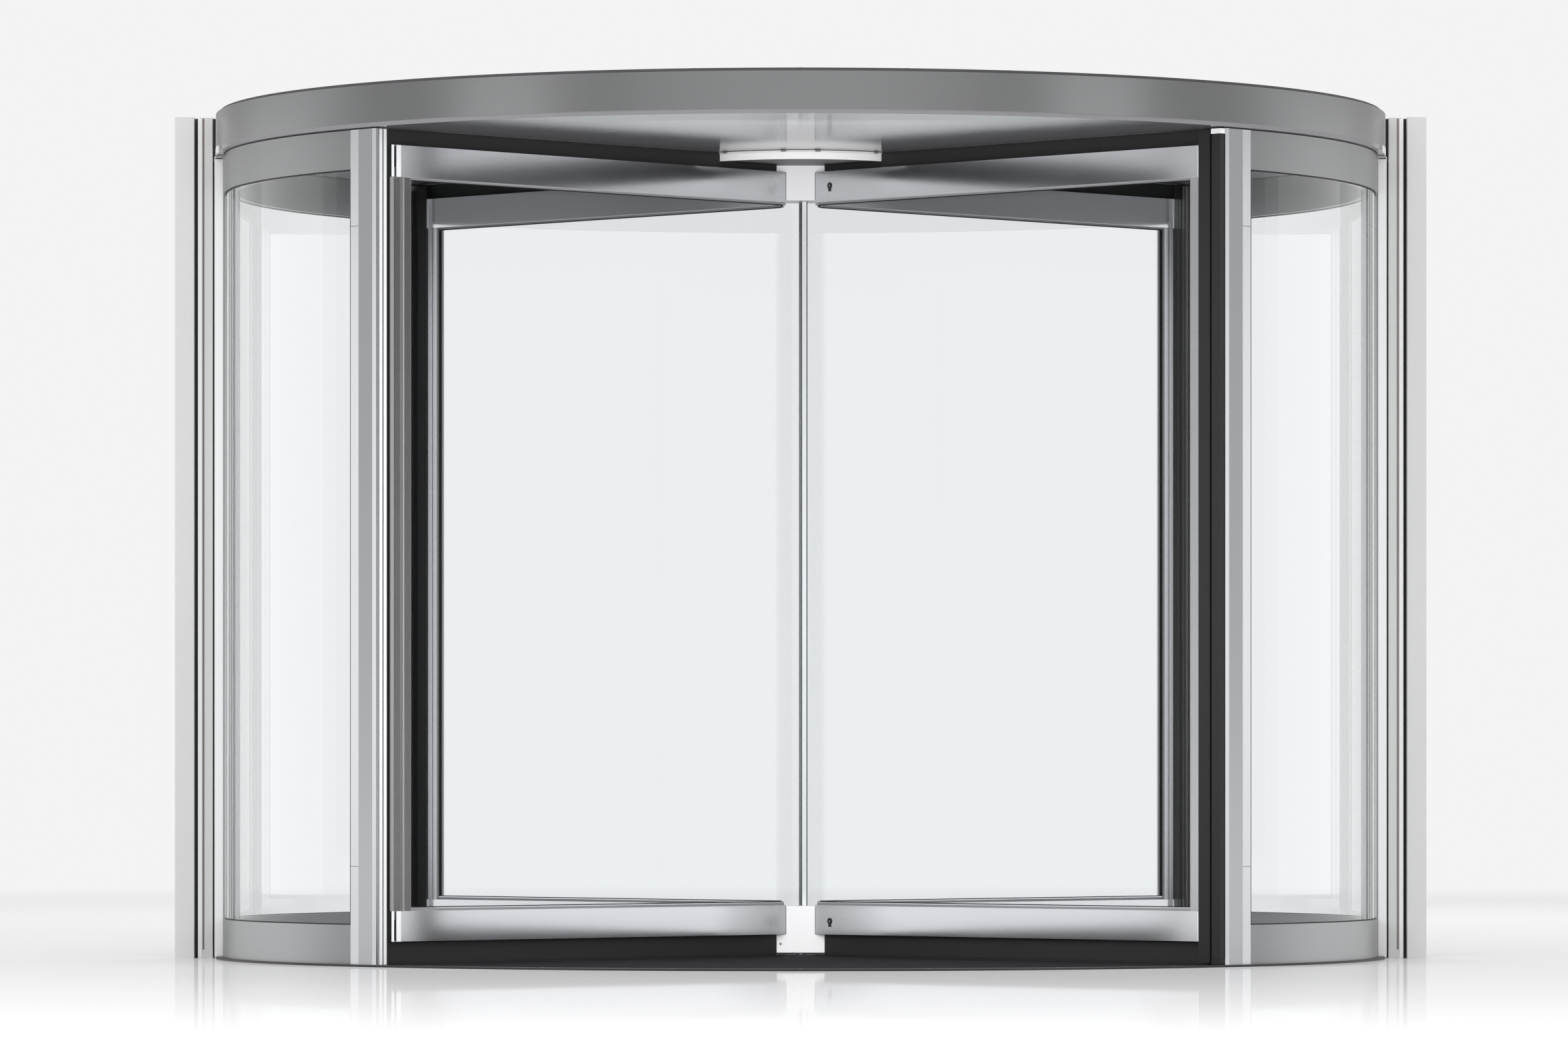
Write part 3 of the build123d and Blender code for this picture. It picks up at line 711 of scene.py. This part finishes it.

# Face plates of the wing rails, which reach a little over the glazing beads, and the strips at their ends,
# whose bright paint is a painted highlight. True is a bare side, False one with a seal cover
railPlates = {"start": 85.9, "end": {True: 1658.0, False: 1637.4}, "face": 22.9, "back": 22.3, "deep": 12.4,
              "inset": 0.3, "overLow": 158.6, "overHigh": 2261.5, "endFace": 23.4, "soften": 0.25,
              "ends": {True: ((1641.0, 1657.9), (1667.5, 1677.0)), False: ((1631.0, 1637.2),)}}


def makeRailPlates():
    plates = Form()
    ends = Form()
    face, back, deep = railPlates["face"], railPlates["back"], railPlates["deep"]
    levels = ((rotor["railLow"] + railPlates["inset"], rotor["railLowTop"], railPlates["overLow"]),
              (rotor["railHighTop"] - railPlates["inset"], rotor["railHigh"], railPlates["overHigh"]))
    for place, side, bare in wingSides:
        outs = (railPlates["start"], railPlates["end"][bare])
        for outer, inner, over in levels:
            outline = [(face, outer), (face, over), (deep, over), (deep, inner), (back, inner), (back, outer)]
            plates.loft([[place(out, side * across, height) for across, height in outline] for out in outs])
            for strip in railPlates["ends"][bare]:
                ends.block(place, strip, (side * back, side * railPlates["endFace"]), sorted((outer, over)))
    plates.finish("wing_rail_plates", "wing_aluminium", "rotor", "satin_aluminium", railPlates["soften"])
    ends.finish("wing_rail_ends", "bright_clip_and_highlight", "rotor", "satin_aluminium", railPlates["soften"])


makeRailPlates()

# Stiles: faces, dark lines and edge strips, each with from, to and how far proud of the face. inner is
# the edge beside the pane, from near to innerFace across the wing
stileTrim = {
    "back": 12.5, "face": 18.0, "heights": (159.2, 2260.9), "soften": 0.25, "lightSoften": 0.15,
    "strips": {
        True: (("bareFaces", 1598.8, 1631.0, 0.0), ("bareFaces", 1640.8, 1664.0, 0.0),
               ("lines", 1630.6, 1641.2, -1.2), ("lights", 1623.5, 1630.8, 0.3),
               ("edges", 1664.4, 1675.4, 0.0)),
        False: (("faces", 1598.8, 1616.5, 0.0), ("faces", 1618.0, 1637.5, 4.4),
                ("lines", 1616.2, 1618.3, 0.0)),
    },
    "inner": (1597.8, 1599.2), "near": 9.6, "innerFace": 17.9,
}


def makeStileTrim():
    forms = {part: Form() for part in ("faces", "bareFaces", "lines", "lights", "edges", "inner")}
    back, face, heights = stileTrim["back"], stileTrim["face"], stileTrim["heights"]
    soften, lightSoften = stileTrim["soften"], stileTrim["lightSoften"]
    for place, side, bare in wingSides:
        for part, start, end, proud in stileTrim["strips"][bare]:
            forms[part].block(place, (start, end), (side * back, side * (face + proud)), heights)
        acrosses = (side * stileTrim["near"], side * stileTrim["innerFace"])
        forms["inner"].block(place, stileTrim["inner"], acrosses, heights)
    forms["faces"].finish("stile_faces", "stile_aluminium", "rotor", "satin_aluminium", soften)
    # the bare faces take the darkened stile metal, which is painted shade
    forms["bareFaces"].finish("stile_bare_faces", "stile_painted_shade", "rotor", "satin_aluminium", soften)
    forms["lights"].finish("stile_bead_edges", "edge_strip", "rotor", "satin_aluminium", lightSoften)
    forms["edges"].finish("stile_edge_strips", "edge_strip", "rotor", "satin_aluminium", soften)
    forms["lines"].finish("stile_bead_lines", "stile_line", "rotor", "black_trim")
    forms["inner"].finish("stile_inner_edges", "edge_strip", "rotor", "satin_aluminium")


makeStileTrim()

# Dark lines on the glazing beads, beside the edges of the rail plates
beadLines = {"outs": (84.0, 1597.0), "back": 12.5, "face": 13.3,
             "heights": ((158.8, 166.0), (2255.6, 2261.3))}


def makeBeadLines():
    form = Form()
    for place, side, _ in wingSides:
        acrosses = (side * beadLines["back"], side * beadLines["face"])
        for heights in beadLines["heights"]:
            form.block(place, beadLines["outs"], acrosses, heights)
    form.finish("rail_bead_lines", "bead_line", "rotor", "black_trim")


makeBeadLines()

# Locks in the rails of the keyed wings, near the hub, on both faces: a round plate with a straight
# drop, a cylinder and its keyway
locks = {"out": 146.0, "heights": (112.0, 2309.0), "radius": 9.6, "arc": (-60, 240), "arcSteps": 24,
         "body": 5.8, "drop": 17.0, "sunk": 1.0, "proud": 1.6, "core": 3.0, "coreHeight": 0.5,
         "coreSides": 20, "coreEdge": 0.2, "keyHalfWidth": 0.7, "keyHalfHeight": 2.5, "keyProud": 0.75}


def makeLocks():
    plates = Form()
    cores = Form()
    keys = Form()
    (start, end), steps = locks["arc"], locks["arcSteps"]
    turned = [math.radians(start + (end - start) * step / steps) for step in range(steps + 1)]
    outline = [(math.cos(a) * locks["radius"], math.sin(a) * locks["radius"]) for a in turned]
    outline += [(-locks["body"], -locks["drop"]), (locks["body"], -locks["drop"])]
    out = locks["out"]
    keyOuts = (out - locks["keyHalfWidth"], out + locks["keyHalfWidth"])
    for name in rotor["keyed"]:
        place = onWing(rotor["wings"][name])
        for height in locks["heights"]:
            keyHeights = (height - locks["keyHalfHeight"], height + locks["keyHalfHeight"])
            for side in (-1, 1):
                face = side * rotor["railHalf"]
                front = face + side * locks["proud"]
                plates.loft([[place(out + along, across, height + up) for along, up in outline]
                             for across in (face - side * locks["sunk"], front)])
                cores.stud(place(out, front, height), place(0, side, 0), locks["core"], locks["coreHeight"],
                           locks["coreSides"], locks["coreEdge"])
                keys.block(place, keyOuts, (face, front + side * locks["keyProud"]), keyHeights)
    plates.finish("lock_escutcheons", "keyhole", "rotor", "black_trim")
    cores.finish("lock_cylinders", "bearing_steel", "rotor", "bearing_steel")
    keys.finish("lock_keyways", "keyhole", "rotor", "black_trim")


makeLocks()

# Brush lips in the running gaps of the wings: under, over and outside of the seals
lips = {"half": 3.0, "reach": 5.1, "sunk": 2.0, "tipWidth": 4.0, "hubEdge": 108.0, "disc": 346.0}


def makeLips():
    acrosses = (-lips["half"], lips["half"])
    low, high = rotor["sealLow"] - lips["reach"], rotor["sealHigh"] + lips["reach"]
    turn = rotor["tip"] - lips["tipWidth"]
    for name, azimuth in rotor["wings"].items():
        form = Form()
        place = onWing(azimuth)
        form.block(place, (lips["hubEdge"], turn), acrosses, (low, rotor["sealLow"] + lips["sunk"]))
        form.block(place, (lips["disc"], turn), acrosses, (rotor["sealHigh"] - lips["sunk"], high))
        form.block(place, (turn, rotor["tip"] + lips["reach"]), acrosses, (low, high))
        form.finish("brush_lips_" + name, "black_rubber", "rotor", "black_rubber")


makeLips()

# Hub: dark joints where the rails start, a screw in each side of the lower block, and clear profiles
# with a dark line at the panes
hub = {"jointWidth": 2.2, "jointOverlap": 0.2, "jointDeep": 1.0, "jointInset": 1.0, "proud": 0.25,
       "side": 75.0, "screwAcross": 60.0, "screwHeight": 43.0, "screwRadius": 3.6, "screwProud": 0.6,
       "screwSides": 16, "profile": (14.5, 29.5), "profileAcross": (6.05, 7.2), "profileLine": (31.0, 35.5),
       "lineAcross": (6.05, 6.8), "soften": 0.3}


def makeHubTrim():
    joints = Form()
    half, inset = rotor["railHalf"] + hub["proud"], hub["jointInset"]
    deep = half - hub["jointDeep"]
    outs = (rotor["railStart"] - hub["jointOverlap"], rotor["railStart"] + hub["jointWidth"])
    for azimuth in rotor["wings"].values():
        place = onWing(azimuth)
        for low, high in ((rotor["railLow"], rotor["railLowTop"]), (rotor["railHigh"], rotor["railHighTop"])):
            for acrosses in ((-half, -deep), (deep, half)):
                joints.block(place, outs, acrosses, (low + inset, high - inset))
    joints.finish("hub_joints", "black_trim", "rotor", "black_trim")

    screws = Form()
    for spin in range(4):
        place = onWing(90 * spin)
        centre = place(hub["side"], hub["screwAcross"], hub["screwHeight"])
        screws.stud(centre, place(1, 0, 0), hub["screwRadius"], hub["screwProud"], hub["screwSides"])
    screws.finish("hub_screws", "bearing_steel", "rotor", "bearing_steel")

    profiles = Form()
    lines = Form()
    heights = (rotor["railLowTop"] + fit["clear"], rotor["railHigh"] - fit["clear"])
    place = onWing(rotor["wings"]["front_right"])
    profiles.block(place, hub["profile"], hub["profileAcross"], heights)
    lines.block(place, hub["profileLine"], hub["lineAcross"], heights)
    profiles.finish("centre_profiles", "clear_profile", "rotor", "clear_gasket", hub["soften"])
    lines.finish("centre_profile_lines", "stile_line", "rotor", "black_rubber")


makeHubTrim()

# Ring that closes the gap over the hanger disc, with the brown heads of its screws, and the disc's
# dark underside
discRing = {"outs": (318.0, 342.5), "heights": (2394.4, 2398.6), "underOuts": (60.0, 341.0),
            "underHeights": (2371.8, 2372.8), "heads": (-41.0, -8.5, 8.5, 41.0), "headHalf": 1.4,
            "headOuts": (340.5, 343.0), "headHeights": (2394.9, 2398.2)}


def makeDiscRing():
    ring = Form()
    ring.band(discRing["outs"], discRing["heights"], 0, 360)
    ring.finish("disc_gap_ring", "post_paint", "rotor", "hub_paint")
    under = Form()
    under.band(discRing["underOuts"], discRing["underHeights"], 0, 360)
    under.finish("disc_underside", "black_trim", "rotor", "black_trim")
    heads = Form()
    half = discRing["headHalf"]
    for quarter in range(4):
        for shift in discRing["heads"]:
            angle = 90 * quarter + shift
            heads.band(discRing["headOuts"], discRing["headHeights"], angle - half, angle + half)
    heads.finish("disc_ring_heads", "groove_line", "rotor", "bearing_steel")


makeDiscRing()

# The studio, in metres: a pale floor that fades into a pale surround and loses its shine further out,
# soft lamps, and cards that only gloss sees
studio = {
    "floorSize": 240.0,
    "floorColour": (0.76, 0.76, 0.76, 1.0),
    "floorShine": 0.34,
    "floorGloss": 0.03,
    "fade": (5.0, 16.0),
    "shineFade": (3.0, 9.0),
    "cardReach": 2.0,
    "brightCard": 0.9,
    "cardStep": 5.0,
    "pale": (0.90, 0.90, 0.90, 1.0),
    "fill": (0.84, 0.84, 0.85, 1.0),
    "white": (1.0, 1.0, 1.0, 1.0),
}
# aim is the height over the floor, on the axis, that a lamp points at
lamps = {
    "front_high": {"place": (-3.0, -9.0, 7.5), "size": (9.0, 5.0), "power": 200.0, "aim": 1.3},
    "front_low": {"place": (1.0, -12.0, 1.9), "size": (9.0, 3.0), "power": 480.0, "aim": 1.3},
    "left": {"place": (-9.0, -2.0, 4.0), "size": (6.0, 6.0), "power": 170.0, "aim": 1.3},
    "right": {"place": (9.0, 1.0, 4.0), "size": (6.0, 6.0), "power": 170.0, "aim": 1.3},
    "behind": {"place": (1.0, 9.0, 6.0), "size": (9.0, 5.0), "power": 220.0, "aim": 1.3},
    "inner_front": {"place": (0.0, -1.75, 0.9), "size": (1.1, 1.2), "power": 9.0, "aim": 0.9},
    "inner_rear": {"place": (0.0, 1.75, 0.9), "size": (1.1, 1.2), "power": 9.0, "aim": 0.9},
    "disc_front": {"place": (0.0, -1.5, 2.2), "size": (0.9, 0.2), "power": 2.5, "aim": 2.38},
}
# angle is from the front, clockwise seen from above; wide is in degrees
cards = {
    "front_grey": {"angle": 0.0, "wide": 205.0, "radius": 34.0, "heights": (-2.0, 14.0), "level": 0.50},
    "front_white": {"angle": 0.0, "wide": 40.0, "radius": 33.0, "heights": (-2.0, 2.4), "level": 1.05},
    "lip_left": {"angle": 56.0, "wide": 20.0, "radius": 15.0, "heights": (-1.0, 3.4), "level": 1.25},
    "lip_right": {"angle": -56.0, "wide": 20.0, "radius": 15.0, "heights": (-1.0, 3.4), "level": 1.25},
    "bevel_left": {"angle": 117.0, "wide": 26.0, "radius": 15.0, "heights": (-1.0, 3.4), "level": 1.35},
    "bevel_right": {"angle": -117.0, "wide": 26.0, "radius": 15.0, "heights": (-1.0, 3.4), "level": 1.35},
    "upper_left": {"angle": 62.0, "wide": 60.0, "radius": 32.0, "heights": (3.2, 14.0), "level": 0.34},
    "upper_right": {"angle": -62.0, "wide": 60.0, "radius": 32.0, "heights": (3.2, 14.0), "level": 0.34},
    "upper_grey": {"angle": 180.0, "wide": 156.0, "radius": 15.5, "heights": (3.4, 10.0), "level": 0.30},
    "rear_grey": {"angle": 180.0, "wide": 70.0, "radius": 13.0, "heights": (1.1, 7.0), "level": 0.52},
}


def ramp(value, start, end):
    # 0 up to start and 1 from end on
    return ((value - start) / (end - start)).sum("MAXIMUM", 0.0).sum("MINIMUM", 1.0)


def makeFloor():
    mesh = bpy.data.meshes.new("studio_floor")
    half = studio["floorSize"] / 2
    corners = [(-half, -half, 0), (half, -half, 0), (half, half, 0), (-half, half, 0)]
    mesh.from_pydata(corners, [], [(0, 1, 2, 3)])
    floor = addObject("studio_floor", mesh)
    paint = Shader("studio_floor")
    x, y, z = paint.place()
    radius = (x * x + y * y).sum("SQRT")
    gloss = (1.0 - ramp(radius, *studio["shineFade"])) * studio["floorShine"]
    dull = paint.add("ShaderNodeBsdfDiffuse", values={"Color": studio["floorColour"]})
    shine = paint.add("ShaderNodeBsdfGlossy", values={
        "Color": studio["white"], "Roughness": studio["floorGloss"]})
    near = paint.blendSurface(gloss, dull, shine)
    far = paint.add("ShaderNodeEmission", values={"Color": studio["pale"], "Strength": 1.0})
    floor.data.materials.append(paint.finish(paint.blendSurface(ramp(radius, *studio["fade"]), near, far)))


def paintCard(name, card):
    paint = Shader(name)
    level = card["level"]
    surface = paint.add("ShaderNodeEmission", values={"Color": (level, level, level, 1.0), "Strength": 1.0})
    if level > studio["brightCard"]:
        # a bright card shows only where its distance fits the door, and so not in most of the open floor
        clear = paint.add("ShaderNodeBsdfTransparent", values={"Color": studio["white"]})
        offset = (paint.add("ShaderNodeLightPath", output="Ray Length") - card["radius"]).sum("ABSOLUTE")
        surface = paint.blendSurface(offset < studio["cardReach"], clear, surface)
    return paint.finish(surface)


def makeCards():
    for name, card in cards.items():
        count = max(2, round(card["wide"] / studio["cardStep"]))
        points = []
        for place in range(count + 1):
            a = math.radians(-90 - card["angle"] + card["wide"] * (place / count - 0.5))
            points += [(card["radius"] * math.cos(a), card["radius"] * math.sin(a), height)
                       for height in card["heights"]]
        faces = [(2 * place, 2 * place + 2, 2 * place + 3, 2 * place + 1) for place in range(count)]
        mesh = bpy.data.meshes.new("card_" + name)
        mesh.from_pydata(points, [], faces)
        mesh.materials.append(paintCard("card_" + name, card))
        holder = addObject("card_" + name, mesh)
        for ray in ("camera", "diffuse", "transmission", "shadow", "volume_scatter"):
            setattr(holder, "visible_" + ray, False)


def makeWorld():
    # pale where it is seen, mirrored or looked at through glass, and a little darker where it only lights
    sky = Shader("studio", world=True)
    rays = [sky.add("ShaderNodeLightPath", output=ray)
            for ray in ("Is Camera Ray", "Is Glossy Ray", "Is Transmission Ray")]
    seen = rays[0].sum("MAXIMUM", rays[1]).sum("MAXIMUM", rays[2])
    fill = sky.add("ShaderNodeBackground", values={"Color": studio["fill"]})
    pale = sky.add("ShaderNodeBackground", values={"Color": studio["pale"]})
    bpy.context.scene.world = sky.finish(sky.blendSurface(seen, fill, pale))


def placeLamps():
    for name, lamp in lamps.items():
        data = bpy.data.lights.new(name, "AREA")
        data.shape = "RECTANGLE"
        data.size, data.size_y = lamp["size"]
        data.energy = lamp["power"]
        holder = addObject(name, data)
        holder.location = lamp["place"]
        aim = Vector((0.0, 0.0, lamp["aim"])) - holder.location
        holder.rotation_euler = aim.to_track_quat("-Z", "Y").to_euler()
        for ray in ("camera", "glossy", "transmission"):
            setattr(holder, "visible_" + ray, False)


makeFloor()
makeCards()
makeWorld()
placeLamps()
bpy.context.scene.view_settings.view_transform = "Standard"
print("studio lit")
